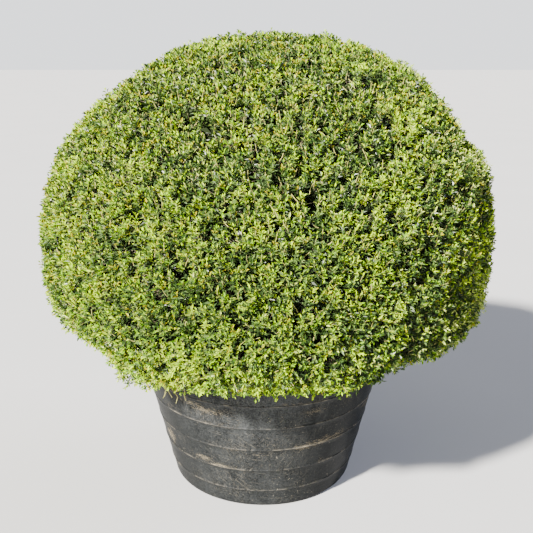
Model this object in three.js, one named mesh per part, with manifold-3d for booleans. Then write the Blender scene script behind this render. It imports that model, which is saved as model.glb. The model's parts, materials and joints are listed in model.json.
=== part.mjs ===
// Box ball clipped to a near sphere, standing in a round black nursery container.
// Millimetres, +Z up. Origin at the centre of the container's underside; -Y is the front.
import * as THREE from "three";
import { mergeVertices } from "three/addons/utils/BufferGeometryUtils.js";
import Module from "manifold-3d";

// ---- Driving dimensions ------------------------------------------------------------------
const gap = 0.3;
const sliver = 0.1;

const potBaseRadius = 240;
const potFlare = 0.236;
const potHeight = 396;
const potWall = 4.2;
const potFloor = 6;
const potCorner = 13;
const potSides = 56;
const potRings = [53, 118, 182, 247, 312];
const ringRise = 2.6;
const ringHalf = 5;
const lipDepth = 24;
const lipReach = 10;
const drainHoles = 8;
const drainCircle = 178;
const drainRadius = 10;

const soilTop = 348;
const soilDome = 9;
const soilSides = 40;

const stemRadius = 31;
const stemTop = 452;
const stemTipRadius = 25;
const stemFlare = 24;
const stemLean = [7, -4];

const crownMiddle = 657;
const crownRadius = 549;
const crownRise = 487;
const crownDrop = 258;
const dropPower = 5.87;
const crownSeed = 4117;
const crownFlank = 20.7;
// Swells and dents low on the crown: height, turn round it, level, and how wide and tall.
const crownSwells = [
  [-46.5, -2.46, -0.386, 0.3, 0.09],
  [22.6, -2.23, -0.476, 0.26, 0.07],
  [17.3, -1.02, -0.535, 0.15, 0.07],
  [-42.3, -0.92, -0.46, 0.11, 0.09],
  [-22.9, -0.43, -0.538, 0.26, 0.08],
  [1.4, -1.48, -0.517, 0.4, 0.07],
];

const coreDepth = 29;
const coreDetail = 8;
const coreLump = 7;
const coreDish = 46;

const boughCount = 13;
const boughRadius = 15;
const sprayCount = 114;
const leavesPerSpray = 4;
const twigRadius = 6.5;
const leafLength = 88;
const leafWidth = 46;
const leafThickness = 7;
const fanOut = 24;

// ---- Small helpers -----------------------------------------------------------------------
const wasm = await Module();
wasm.setup();

function seeded(seed) {
  let state = seed >>> 0;
  return () => {
    state = (state + 0x6d2b79f5) >>> 0;
    let t = state;
    t = Math.imul(t ^ (t >>> 15), t | 1);
    t ^= t + Math.imul(t ^ (t >>> 7), t | 61);
    return ((t ^ (t >>> 14)) >>> 0) / 4294967296;
  };
}

const vec = (x, y, z) => new THREE.Vector3(x, y, z);
const clamp = (v, lo, hi) => Math.min(hi, Math.max(lo, v));
const smooth = (lo, hi, v) => {
  const t = clamp((v - lo) / (hi - lo), 0, 1);
  return t * t * (3 - 2 * t);
};

// A closed solid from points [x, y, z] and triangles that face outwards.
function solid(points, faces) {
  const vertProperties = new Float32Array(points.flat());
  const triVerts = new Uint32Array(faces.flat());
  return new wasm.Manifold(new wasm.Mesh({ numProp: 3, vertProperties, triVerts }));
}

// A profile of [radius, height] that runs from the axis back to the axis, turned about Z.
function turned(profile, sides) {
  const points = [];
  const rows = [];
  for (const [r, z] of profile) {
    if (r < 1e-6) {
      points.push([0, 0, z]);
      rows.push([points.length - 1]);
      continue;
    }
    const row = [];
    for (let i = 0; i < sides; i += 1) {
      const a = (i / sides) * Math.PI * 2;
      points.push([r * Math.cos(a), r * Math.sin(a), z]);
      row.push(points.length - 1);
    }
    rows.push(row);
  }
  return solid(points, stitched(rows, sides));
}

// Triangles between neighbouring rows of points; a row of one point is a pole.
function stitched(rows, sides) {
  const faces = [];
  for (let k = 0; k + 1 < rows.length; k += 1) {
    const low = rows[k];
    const high = rows[k + 1];
    for (let i = 0; i < sides; i += 1) {
      const j = (i + 1) % sides;
      if (low.length === 1 && high.length === 1) continue;
      if (low.length === 1) {
        faces.push([low[0], high[j], high[i]]);
      } else if (high.length === 1) {
        faces.push([low[i], low[j], high[0]]);
      } else {
        faces.push([low[i], low[j], high[j]]);
        faces.push([low[i], high[j], high[i]]);
      }
    }
  }
  return faces;
}

// A tapered limb through centres, each with its radius; capped at both ends.
function limb(centres, radii, sides, turn = 0) {
  const points = [centres[0].toArray()];
  const rows = [[0]];
  let side = vec(1, 0, 0);
  for (let k = 0; k < centres.length; k += 1) {
    const before = centres[Math.max(0, k - 1)];
    const after = centres[Math.min(centres.length - 1, k + 1)];
    const along = after.clone().sub(before).normalize();
    if (Math.abs(side.dot(along)) > 0.9) side = vec(0, 1, 0);
    side = side.clone().addScaledVector(along, -side.dot(along)).normalize();
    const other = along.clone().cross(side);
    const row = [];
    for (let i = 0; i < sides; i += 1) {
      const a = turn + (i / sides) * Math.PI * 2;
      const p = centres[k].clone();
      p.addScaledVector(side, radii[k] * Math.cos(a));
      p.addScaledVector(other, radii[k] * Math.sin(a));
      points.push(p.toArray());
      row.push(points.length - 1);
    }
    rows.push(row);
  }
  points.push(centres[centres.length - 1].toArray());
  rows.push([points.length - 1]);
  return solid(points, stitched(rows, sides));
}

function finished(name, body, colour, roughness) {
  const mesh = body.getMesh();
  const geometry = new THREE.BufferGeometry();
  const position = new THREE.BufferAttribute(Float32Array.from(mesh.vertProperties), 3);
  geometry.setAttribute("position", position);
  geometry.setIndex(new THREE.BufferAttribute(Uint32Array.from(mesh.triVerts), 1));
  geometry.computeVertexNormals();
  const material = new THREE.MeshStandardMaterial({ color: colour, roughness, metalness: 0 });
  const made = new THREE.Mesh(geometry, material);
  made.name = name;
  return made;
}

// ---- Container ---------------------------------------------------------------------------
const potRadiusAt = (z) => potBaseRadius + potFlare * z;

function makePot() {
  const profile = [[0, 0]];
  for (let k = 0; k <= 3; k += 1) {
    const a = (k / 3) * Math.PI * 0.43;
    const r = potRadiusAt(potCorner) - potCorner + potCorner * Math.sin(a);
    profile.push([r, potCorner - potCorner * Math.cos(a)]);
  }
  for (const z of potRings) {
    profile.push([potRadiusAt(z - ringHalf), z - ringHalf]);
    profile.push([potRadiusAt(z - 1.5) + ringRise, z - 1.5]);
    profile.push([potRadiusAt(z + 1.5) + ringRise, z + 1.5]);
    profile.push([potRadiusAt(z + ringHalf), z + ringHalf]);
  }
  const lipFoot = potHeight - lipDepth;
  const lipRadius = potRadiusAt(potHeight) + lipReach;
  const innerAt = (z) => potRadiusAt(z) - potWall;
  profile.push([potRadiusAt(lipFoot), lipFoot]);
  profile.push([lipRadius - 2, lipFoot]);
  profile.push([lipRadius, lipFoot + 3]);
  profile.push([lipRadius, potHeight - 5]);
  profile.push([lipRadius - 4, potHeight]);
  profile.push([innerAt(potHeight) + 3, potHeight]);
  profile.push([innerAt(potHeight - 5), potHeight - 5]);
  profile.push([innerAt(potFloor), potFloor]);
  profile.push([0, potFloor]);
  let pot = turned(profile, potSides);
  const bore = [
    [0, -5],
    [drainRadius, -5],
    [drainRadius, potFloor + 5],
    [0, potFloor + 5],
  ];
  const drain = turned(bore, 10);
  for (let k = 0; k < drainHoles; k += 1) {
    const a = ((k + 0.5) / drainHoles) * Math.PI * 2;
    const at = [drainCircle * Math.cos(a), drainCircle * Math.sin(a), 0];
    pot = pot.subtract(drain.translate(at));
  }
  return pot;
}

// ---- Stem and soil -----------------------------------------------------------------------
function stemCentre(z) {
  const t = (z - soilTop) / (stemTop - soilTop);
  return vec(stemLean[0] * t, stemLean[1] * t * t, z);
}

function makeStem() {
  const foot = soilTop + soilDome + gap;
  const steps = 7;
  const sides = 14;
  const points = [[0, 0, foot]];
  const rows = [[0]];
  for (let k = 0; k <= steps; k += 1) {
    const t = k / steps;
    const z = foot + (stemTop - foot) * t;
    const c = stemCentre(z);
    const spread = Math.pow(1 - t, 3);
    const row = [];
    for (let i = 0; i < sides; i += 1) {
      const a = (i / sides) * Math.PI * 2;
      const buttress = 0.55 + 0.45 * Math.cos(5 * a + 0.6);
      const ridge = 1 + 0.05 * Math.cos(3 * a + 2.2 * t);
      const r = (stemRadius + (stemTipRadius - stemRadius) * t) * ridge;
      const reach = r + stemFlare * spread * buttress;
      points.push([c.x + reach * Math.cos(a), c.y + reach * Math.sin(a), z]);
      row.push(points.length - 1);
    }
    rows.push(row);
  }
  const tip = stemCentre(stemTop);
  points.push([tip.x, tip.y, stemTop]);
  rows.push([points.length - 1]);
  return solid(points, stitched(rows, sides));
}

function makeSoil() {
  const random = seeded(crownSeed + 5);
  const low = potFloor + gap;
  const radiusAt = (z) => potRadiusAt(z) - potWall - gap - 0.25;
  const rings = [0.9, 0.74, 0.56, 0.38, 0.26];
  const points = [[0, 0, low]];
  const rows = [[0]];
  const around = (radius, heightAt) => {
    const row = [];
    for (let i = 0; i < soilSides; i += 1) {
      const a = ((i + 0.5) / soilSides) * Math.PI * 2;
      points.push([radius * Math.cos(a), radius * Math.sin(a), heightAt(i)]);
      row.push(points.length - 1);
    }
    rows.push(row);
  };
  around(radiusAt(low) * 0.992, () => low);
  around(radiusAt(soilTop - 12) * 0.992, () => soilTop - 12);
  for (const part of rings) {
    const rise = soilDome * (1 - part) * 0.6;
    around(radiusAt(soilTop) * part, () => soilTop - 4 + rise + random() * 5);
  }
  around(62, () => soilTop + soilDome);
  points.push([0, 0, soilTop + soilDome]);
  rows.push([points.length - 1]);
  return solid(points, stitched(rows, soilSides));
}

// ---- Crown outline -----------------------------------------------------------------------
// Distance from the crown's middle to its clipped surface along a unit direction.
function crownReach(d) {
  const level = Math.hypot(d.x, d.y);
  const around = Math.atan2(d.y, d.x);
  const near = (at, wide) => {
    const off = Math.atan2(Math.sin(around - at), Math.cos(around - at));
    return Math.exp(-(off * off) / (2 * wide * wide));
  };
  let reach;
  if (d.z >= 0) {
    reach = 1 / Math.hypot(level / crownRadius, d.z / crownRise);
  } else {
    const out = Math.pow(level / crownRadius, dropPower);
    const down = Math.pow(-d.z / crownDrop, dropPower);
    reach = Math.pow(out + down, -1 / dropPower);
  }
  const waves =
    0.008 * Math.sin(2 * around + 1.1 + 2.2 * d.z) +
    0.007 * Math.sin(3 * around - 0.7 - 3.1 * d.z) +
    0.006 * Math.sin(5 * around + 2.3 + 4.0 * d.z);
  const hump = (high, at, wide) => high * Math.exp(-((d.z - at) ** 2) / (2 * wide * wide));
  const flank = crownFlank * smooth(0.44, 0.38, d.z) * smooth(-0.62, -0.3, d.z);
  const right = (flank + hump(18.2, 0.78, 0.14)) * near(0, 0.6);
  const left = (hump(7.2, 0.5, 0.16) + hump(10.6, 0.9, 0.08)) * near(Math.PI, 0.6);
  reach = reach * (1 + waves * level) + right + left;
  for (const [high, turn, at, wide, tall] of crownSwells) {
    reach += hump(high, at, tall) * near(turn, wide);
  }
  return reach;
}

// A point of the crown: direction d, a depth in from the clipped surface.
function crownPoint(d, depth) {
  const p = d.clone().multiplyScalar(crownReach(d) - depth);
  const lean = 10 * level01(p.z) + 20 * level01(p.z - 200);
  return vec(p.x + lean, p.y, p.z + crownMiddle);
}
const level01 = (z) => smooth(-250, 450, z);

function spiralDirection(k, count, from, to, random, loose) {
  const z = from + ((to - from) * (k + 0.5)) / count + (random() - 0.5) * loose;
  const held = clamp(z, -0.995, 0.995);
  const a = k * Math.PI * (3 - Math.sqrt(5)) + (random() - 0.5) * loose * 3;
  const level = Math.sqrt(1 - held * held);
  return vec(level * Math.cos(a), level * Math.sin(a), held);
}

// The dense inner body of the crown, with the soft lumps that clipping leaves.
function makeCore() {
  const random = seeded(crownSeed + 9);
  const ball = new THREE.IcosahedronGeometry(1, coreDetail);
  ball.deleteAttribute("uv");
  ball.deleteAttribute("normal");
  const merged = mergeVertices(ball, 1e-4);
  const points = [];
  const at = merged.getAttribute("position");
  for (let i = 0; i < at.count; i += 1) {
    const d = vec(at.getX(i), at.getY(i), at.getZ(i)).normalize();
    const dish = coreDish * smooth(-0.62, -0.93, d.z);
    const lumps = Math.sin(11 * d.x + 4 * d.z) + Math.sin(12 * d.y - 5 * d.x) + Math.sin(13 * d.z + 6 * d.y);
    const depth = coreDepth + dish + coreLump * (0.3 * lumps + random() - 0.5);
    const p = crownPoint(d, depth);
    const overPot = 1 - smooth(360, 400, Math.hypot(p.x, p.y));
    p.z = Math.max(p.z, potHeight - 12 + 26 * overPot);
    points.push(p.toArray());
  }
  const index = Array.from(merged.index.array);
  const faces = [];
  for (let i = 0; i < index.length; i += 3) faces.push(index.slice(i, i + 3));
  return solid(points, faces);
}

// ---- Boughs, twigs and leaves ------------------------------------------------------------
function growBoughs() {
  const random = seeded(crownSeed);
  const root = stemCentre(stemTop).add(vec(0, 0, gap));
  const fork = vec(root.x, root.y, root.z + 78);
  const boughs = [];
  for (let k = 0; k < boughCount; k += 1) {
    const d = spiralDirection(k, boughCount, 0.98, -0.42, random, 0.06);
    const tip = crownPoint(d, 0).sub(fork).multiplyScalar(0.72).add(fork);
    const bend = fork.clone().lerp(tip, 0.5).add(vec(0, 0, 30 + 40 * random()));
    boughs.push({ d, fork, bend, tip });
  }
  return { root, fork, boughs };
}

const alongBough = (bough, t) => {
  const a = bough.fork.clone().lerp(bough.bend, t);
  const b = bough.bend.clone().lerp(bough.tip, t);
  return a.lerp(b, t);
};

// Each spray leaves its nearest bough and ends in a fan of leaves at the clipped surface.
function growSprays(boughs) {
  const random = seeded(crownSeed + 1);
  const sprays = [];
  for (let k = 0; k < sprayCount; k += 1) {
    const d = spiralDirection(k, sprayCount, 1, -0.6, random, 0.02);
    let nearest = boughs[0];
    for (const bough of boughs) {
      if (bough.d.dot(d) > nearest.d.dot(d)) nearest = bough;
    }
    const foot = alongBough(nearest, 0.55 + 0.4 * random());
    const end = crownPoint(d, 48 + 8 * random());
    const spin = random() * Math.PI * 2;
    const out = crownPoint(d, 0).sub(crownPoint(d, 60)).normalize();
    const wander = vec(random() - 0.5, random() - 0.5, random() - 0.3).multiplyScalar(0.3);
    out.add(wander).normalize();
    sprays.push({ foot, end, out, spin, tint: random() });
  }
  return sprays;
}

// An eight-faced leaf: base, tip, two edges, and a raised and a sunken middle.
function leafSolid(base, along, across, long, wide, thick) {
  const up = along.clone().cross(across).normalize();
  const mid = base.clone().addScaledVector(along, long * 0.5);
  const at = (p, axis, far) => p.clone().addScaledVector(axis, far).toArray();
  const points = [
    base.toArray(),
    at(base, along, long),
    at(mid, across, wide / 2),
    at(mid, across, -wide / 2),
    at(mid, up, thick / 2),
    at(mid, up, -thick / 2),
  ];
  const faces = [
    [0, 3, 4],
    [0, 4, 2],
    [1, 2, 4],
    [1, 4, 3],
    [0, 5, 3],
    [0, 2, 5],
    [1, 5, 2],
    [1, 3, 5],
  ];
  return { points, faces };
}

const clearOfPot = (p) => Math.hypot(p[0], p[1]) > 352 || p[2] > potHeight + 6;

function makeCrown() {
  const random = seeded(crownSeed + 2);
  const { root, fork, boughs } = growBoughs();
  const pieces = [makeCore()];
  const neck = root.clone().lerp(fork, 0.4);
  pieces.push(limb([root, neck, fork.clone().add(vec(0, 0, 40))], [25, 24, 24], 10));
  for (const bough of boughs) {
    const middle = alongBough(bough, 0.5);
    const radii = [boughRadius, boughRadius * 0.7, boughRadius * 0.4];
    pieces.push(limb([bough.fork, middle, bough.tip], radii, 3));
  }
  for (const spray of growSprays(boughs)) {
    const side = vec(0, 0, 1).cross(spray.out);
    if (side.length() < 0.2) side.set(1, 0, 0);
    side.normalize();
    const other = spray.out.clone().cross(side);
    const grown = [];
    for (let k = 0; k < leavesPerSpray; k += 1) {
      const isTip = k === leavesPerSpray - 1;
      const a = spray.spin + (k / (leavesPerSpray - 1)) * Math.PI * 2 + (random() - 0.5) * 0.7;
      const open = isTip ? 0.15 + 0.2 * random() : 0.78 + 0.24 * random();
      const fan = side.clone().multiplyScalar(Math.cos(a)).addScaledVector(other, Math.sin(a));
      const along = spray.out.clone().multiplyScalar(Math.cos(open));
      along.addScaledVector(fan, Math.sin(open)).normalize();
      const across = spray.out.clone().cross(along).normalize();
      const long = leafLength * (isTip ? 0.66 : 0.95) * (0.9 + 0.2 * random());
      const wide = leafWidth * (0.9 + 0.2 * random());
      const base = spray.end.clone().addScaledVector(fan, isTip ? 0 : fanOut);
      const leaf = leafSolid(base, along, across, long, wide, leafThickness);
      if (leaf.points.every(clearOfPot)) grown.push(solid(leaf.points, leaf.faces));
    }
    if (grown.length === 0) continue;
    const tip = spray.end.clone().addScaledVector(spray.out, 10);
    pieces.push(limb([spray.foot, tip], [twigRadius * 1.3, twigRadius], 3, spray.spin));
    pieces.push(...grown);
  }
  return largestPiece(wasm.Manifold.union(pieces));
}

// One closed body: slivers, loose scraps and sealed hollows are let go.
function largestPiece(body) {
  let whole = body.simplify(sliver);
  for (let pass = 0; pass < 8; pass += 1) {
    const parts = whole.decompose();
    if (pass > 0 && parts.length === 1) break;
    parts.sort((a, b) => b.volume() - a.volume());
    whole = welded(parts[0]);
  }
  return whole;
}

// The same solid with points closer than a micron made one.
function welded(body) {
  const mesh = body.getMesh();
  const loose = new THREE.BufferGeometry();
  const position = new THREE.BufferAttribute(Float32Array.from(mesh.vertProperties), 3);
  loose.setAttribute("position", position);
  loose.setIndex(new THREE.BufferAttribute(Uint32Array.from(mesh.triVerts), 1));
  const merged = mergeVertices(loose.toNonIndexed(), 1e-3);
  const vertProperties = Float32Array.from(merged.attributes.position.array);
  const triVerts = Uint32Array.from(merged.index.array);
  return new wasm.Manifold(new wasm.Mesh({ numProp: 3, vertProperties, triVerts }));
}

// ---- Assembly ----------------------------------------------------------------------------
const plant = new THREE.Group();
plant.name = "box_topiary_ball";
plant.add(finished("pot", makePot(), 0x3a3b39, 0.5));
plant.add(finished("potting_soil", makeSoil(), 0x3b2a1e, 0.95));
plant.add(finished("short_stem", makeStem(), 0x8a7a5c, 0.85));
plant.add(finished("clipped_crown", makeCrown(), 0x71853f, 0.6));

export default plant;
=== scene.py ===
import json
import math

import bmesh
import bpy
import numpy as np
from mathutils import Matrix, Vector, kdtree, noise

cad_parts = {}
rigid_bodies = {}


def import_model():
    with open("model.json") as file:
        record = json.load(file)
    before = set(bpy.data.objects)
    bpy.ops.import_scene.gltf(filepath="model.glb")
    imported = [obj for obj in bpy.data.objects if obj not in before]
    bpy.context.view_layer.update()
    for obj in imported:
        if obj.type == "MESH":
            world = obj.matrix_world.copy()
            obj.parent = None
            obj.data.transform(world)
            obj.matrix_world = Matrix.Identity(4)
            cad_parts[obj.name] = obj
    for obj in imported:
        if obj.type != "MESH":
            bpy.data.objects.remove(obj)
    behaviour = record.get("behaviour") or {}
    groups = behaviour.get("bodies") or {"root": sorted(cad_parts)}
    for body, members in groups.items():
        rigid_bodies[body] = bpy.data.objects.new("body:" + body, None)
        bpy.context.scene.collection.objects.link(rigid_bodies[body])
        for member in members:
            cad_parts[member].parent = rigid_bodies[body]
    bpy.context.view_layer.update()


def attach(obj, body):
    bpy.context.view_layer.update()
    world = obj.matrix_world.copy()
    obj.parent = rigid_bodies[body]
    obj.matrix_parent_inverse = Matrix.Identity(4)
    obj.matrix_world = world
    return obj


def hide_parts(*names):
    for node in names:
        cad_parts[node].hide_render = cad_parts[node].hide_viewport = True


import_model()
scene = bpy.context.scene

# camera
view = {
    "place": (0.0, -1.896, 1.114),
    "lookDown": 16.21,  # degrees under level
    "lens": 50.66,
    "shift": 0.0077,
}


def makeCamera():
    data = bpy.data.cameras.new("gardenView")
    data.lens = view["lens"]
    data.sensor_width = 36
    data.shift_x = view["shift"]
    data.clip_end = 50
    cam = bpy.data.objects.new("gardenView", data)
    cam.location = view["place"]
    cam.rotation_euler = (math.radians(90 - view["lookDown"]), 0, 0)
    scene.collection.objects.link(cam)
    scene.camera = cam


makeCamera()


# seeded numbers and small sums, the same as the solids use
def seeded(seed):
    state = seed & 0xFFFFFFFF

    def draw():
        nonlocal state
        state = (state + 0x6D2B79F5) & 0xFFFFFFFF
        t = state
        t = ((t ^ (t >> 15)) * (t | 1)) & 0xFFFFFFFF
        t ^= (t + (((t ^ (t >> 7)) * (t | 61)) & 0xFFFFFFFF)) & 0xFFFFFFFF
        return ((t ^ (t >> 14)) & 0xFFFFFFFF) / 4294967296

    return draw


def smooth(low, high, v):
    t = np.clip((v - low) / (high - low), 0, 1)
    return t * t * (3 - 2 * t)


def unit(v):
    return v / np.maximum(np.linalg.norm(v, axis=-1, keepdims=True), 1e-9)


def grain(points, scale, shift=0.0):
    return np.array([noise.noise(Vector((p * scale + shift).tolist())) for p in points])


# the crown's outline and its growth rule, in millimetres
crown = {
    "middle": 657,
    "radius": 549,
    "rise": 487,
    "drop": 258,
    "dropPower": 5.87,
    "flank": 20.7,
    "seed": 4117,
    "boughs": 13,
    "limbs": 114,
}
# Swells and dents low on the crown: height, turn, level, and how wide and tall each is.
crownSwells = [
    (-46.5, -2.46, -0.386, 0.3, 0.09),
    (22.6, -2.23, -0.476, 0.26, 0.07),
    (17.3, -1.02, -0.535, 0.15, 0.07),
    (-42.3, -0.92, -0.46, 0.11, 0.09),
    (-22.9, -0.43, -0.538, 0.26, 0.08),
    (1.4, -1.48, -0.517, 0.4, 0.07),
]
stem = {
    "soilTop": 348,
    "soilDome": 9,
    "top": 452,
    "radius": 31,
    "tipRadius": 25,
    "flare": 24,
    "lean": (7, -4),
    "gap": 0.3,
}


def crownReach(d):
    level = np.hypot(d[:, 0], d[:, 1])
    around = np.arctan2(d[:, 1], d[:, 0])
    dz = d[:, 2]

    def near(at, wide):
        off = np.arctan2(np.sin(around - at), np.cos(around - at))
        return np.exp(-(off * off) / (2 * wide * wide))

    def hump(high, at, wide):
        return high * np.exp(-((dz - at) ** 2) / (2 * wide * wide))

    upper = 1 / np.hypot(level / crown["radius"], dz / crown["rise"])
    down = (np.maximum(-dz, 0) / crown["drop"]) ** crown["dropPower"]
    lower = ((level / crown["radius"]) ** crown["dropPower"] + down) ** (-1 / crown["dropPower"])
    reach = np.where(dz >= 0, upper, lower)
    waves = (
        0.008 * np.sin(2 * around + 1.1 + 2.2 * dz)
        + 0.007 * np.sin(3 * around - 0.7 - 3.1 * dz)
        + 0.006 * np.sin(5 * around + 2.3 + 4.0 * dz)
    )
    reach = reach * (1 + waves * level)
    for high, turn, at, wide, tall in crownSwells:
        reach = reach + hump(high, at, tall) * near(turn, wide)
    flank = crown["flank"] * smooth(0.44, 0.38, dz) * smooth(-0.62, -0.3, dz)
    right = (flank + hump(18.2, 0.78, 0.14)) * near(0, 0.6)
    left = (hump(7.2, 0.5, 0.16) + hump(10.6, 0.9, 0.08)) * near(math.pi, 0.6)
    return reach + right + left


def crownPoints(d, depth):
    p = d * (crownReach(d) - depth)[:, None]
    lean = 10 * smooth(-250, 450, p[:, 2]) + 20 * smooth(-250, 450, p[:, 2] - 200)
    p = p + np.stack([lean, 0 * lean, 0 * lean + crown["middle"]], 1)
    return p


def crownPoint(d, depth):
    return crownPoints(np.array([d], float), np.array([float(depth)]))[0]


def crownNormals(d):
    side = unit(np.cross(d, [0.0, 0.0, 1.0]) + [1e-6, 0, 0])
    other = np.cross(side, d)
    step = 0.012
    still = np.zeros(len(d))
    middle = crownPoints(d, still)
    a = crownPoints(unit(d + step * side), still) - middle
    b = crownPoints(unit(d + step * other), still) - middle
    n = np.cross(a, b)
    area = np.linalg.norm(n, axis=1) / step**2
    n = unit(n)
    flip = np.sum(n * d, axis=1) < 0
    n[flip] *= -1
    return n, area


def goldenTurn(k):
    return k * math.pi * (3 - math.sqrt(5))


def spiralDirection(k, count, low, high, draw, loose, turnsBack=False):
    # even steps round and down a ball, a little loosened, and held back from its poles
    z = low + ((high - low) * (k + 0.5)) / count + (draw() - 0.5) * loose
    z = math.copysign(min(abs(z), 2 - abs(z)), z) if turnsBack else min(max(z, -0.995), 0.995)
    a = goldenTurn(k) + (draw() - 0.5) * loose * 3
    level = math.sqrt(1 - z * z)
    return np.array([level * math.cos(a), level * math.sin(a), z])


def spiralDirections(count, low, high, draw, loose):
    return np.array([spiralDirection(k, count, low, high, draw, loose, True) for k in range(count)])


def stemCentre(z):
    t = (z - stem["soilTop"]) / (stem["top"] - stem["soilTop"])
    return np.array([stem["lean"][0] * t, stem["lean"][1] * t * t, z])


def bent(a, b, c, t):
    # a point along the curve that leaves a, bends towards b and ends at c
    start = a + (b - a) * t
    end = b + (c - b) * t
    return start + (end - start) * t


def bentPath(a, b, c, steps):
    return [bent(a, b, c, k / steps) for k in range(steps + 1)]


def growBoughs():
    draw = seeded(crown["seed"])
    root = stemCentre(stem["top"]) + [0, 0, stem["gap"]]
    fork = root + [0, 0, 78]
    boughs = []
    for k in range(crown["boughs"]):
        d = spiralDirection(k, crown["boughs"], 0.98, -0.42, draw, 0.06)
        tip = fork + (crownPoint(d, 0) - fork) * 0.72
        bend = (fork + tip) / 2 + [0, 0, 30 + 40 * draw()]
        boughs.append({"d": d, "fork": fork, "bend": bend, "tip": tip})
    return root, fork, boughs


def growLimbs(boughs):
    draw = seeded(crown["seed"] + 1)
    dirs = np.array([b["d"] for b in boughs])
    limbs = []
    for k in range(crown["limbs"]):
        d = spiralDirection(k, crown["limbs"], 1, -0.6, draw, 0.02)
        bough = boughs[int(np.argmax(dirs @ d))]
        foot = bent(bough["fork"], bough["bend"], bough["tip"], 0.55 + 0.4 * draw())
        end = crownPoint(d, 48 + 8 * draw())
        for _ in range(5):
            draw()  # numbers that the solids' twigs take here
        limbs.append({"d": d, "foot": foot, "end": end})
    return limbs


# short ways to build a node tree
class Nodes:
    def __init__(self, tree):
        self.tree = tree

    def fill(self, sockets, values):
        # links each value that comes from a node, and sets the others
        for label, value in values.items():
            if isinstance(value, bpy.types.NodeSocket):
                self.tree.links.new(value, sockets[label])
            else:
                sockets[label].default_value = value

    def add(self, kind, values=None, **settings):
        node = self.tree.nodes.new(kind)
        for name, setting in settings.items():
            setattr(node, name, setting)
        self.fill(node.inputs, values or {})
        return node

    def sums(self, operation, *values):
        return self.add("ShaderNodeMath", dict(enumerate(values)), operation=operation).outputs[0]

    def times(self, a, b):
        return self.sums("MULTIPLY", a, b)

    def timesPlus(self, a, b, c):
        return self.sums("MULTIPLY_ADD", a, b, c)

    def less(self, a, b):
        return self.sums("SUBTRACT", a, b)

    def most(self, a, b):
        return self.sums("MAXIMUM", a, b)

    def noise(self, scale, detail=4.0, rough=0.55, distort=0.0, where=None):
        values = {"Vector": where or self.where, "Scale": scale, "Detail": detail}
        values.update({"Roughness": rough, "Distortion": distort})
        return self.add("ShaderNodeTexNoise", values).outputs["Fac"]

    def streaks(self, stretch, scale, detail, rough, distort=0.0, turn=(0, 0, 0)):
        # noise that is turned, then stretched
        values = {"Vector": self.where, "Scale": [1 / v for v in stretch], "Rotation": turn}
        where = self.add("ShaderNodeMapping", values, vector_type="TEXTURE").outputs[0]
        return self.noise(scale, detail, rough, distort, where)

    def span(self, v, low, high, toLow=0.0, toHigh=1.0):
        values = {"Value": v, "From Min": low, "From Max": high, "To Min": toLow, "To Max": toHigh}
        return self.add("ShaderNodeMapRange", values, interpolation_type="SMOOTHSTEP").outputs["Result"]

    def mix(self, share, a, b):
        a, b = (v if isinstance(v, bpy.types.NodeSocket) else (*v, 1) for v in (a, b))
        return self.add("ShaderNodeMix", {0: share, 6: a, 7: b}, data_type="RGBA").outputs[2]

    def attribute(self, name):
        return self.add("ShaderNodeAttribute", attribute_name=name).outputs["Fac"]

    def grain(self, scale, low=0.0, high=1.0):
        values = {"Where": self.where, "Scale": scale, "Smoothest": low, "Roughest": high}
        return self.add("ShaderNodeGroup", values, node_tree=surfaceGrain).outputs

    def bump(self, height, distance):
        return self.add("ShaderNodeBump", {"Distance": distance, "Height": height}).outputs["Normal"]


def newTree(name, kind, inputs, outputs):
    tree = bpy.data.node_groups.new(name, kind)
    for way, sockets in (("INPUT", inputs), ("OUTPUT", outputs)):
        for label, sort in sockets.items():
            tree.interface.new_socket(label, in_out=way, socket_type="NodeSocket" + sort)
    kit = Nodes(tree)
    return kit, kit.add("NodeGroupInput").outputs, kit.add("NodeGroupOutput").inputs


def newGrower(name, inputs):
    kit, start, end = newTree(
        name,
        "GeometryNodeTree",
        {"Geometry": "Geometry", **inputs, "Finish": "Material"},
        {"Geometry": "Geometry"},
    )
    kit.tree.is_modifier = True

    def closeWith(made):
        real = kit.add("GeometryNodeRealizeInstances", {0: made})
        paint = {"Geometry": real.outputs[0], "Material": start["Finish"]}
        kit.fill(end, {0: kit.add("GeometryNodeSetMaterial", paint).outputs[0]})
        return kit.tree

    return kit, start, closeWith


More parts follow.
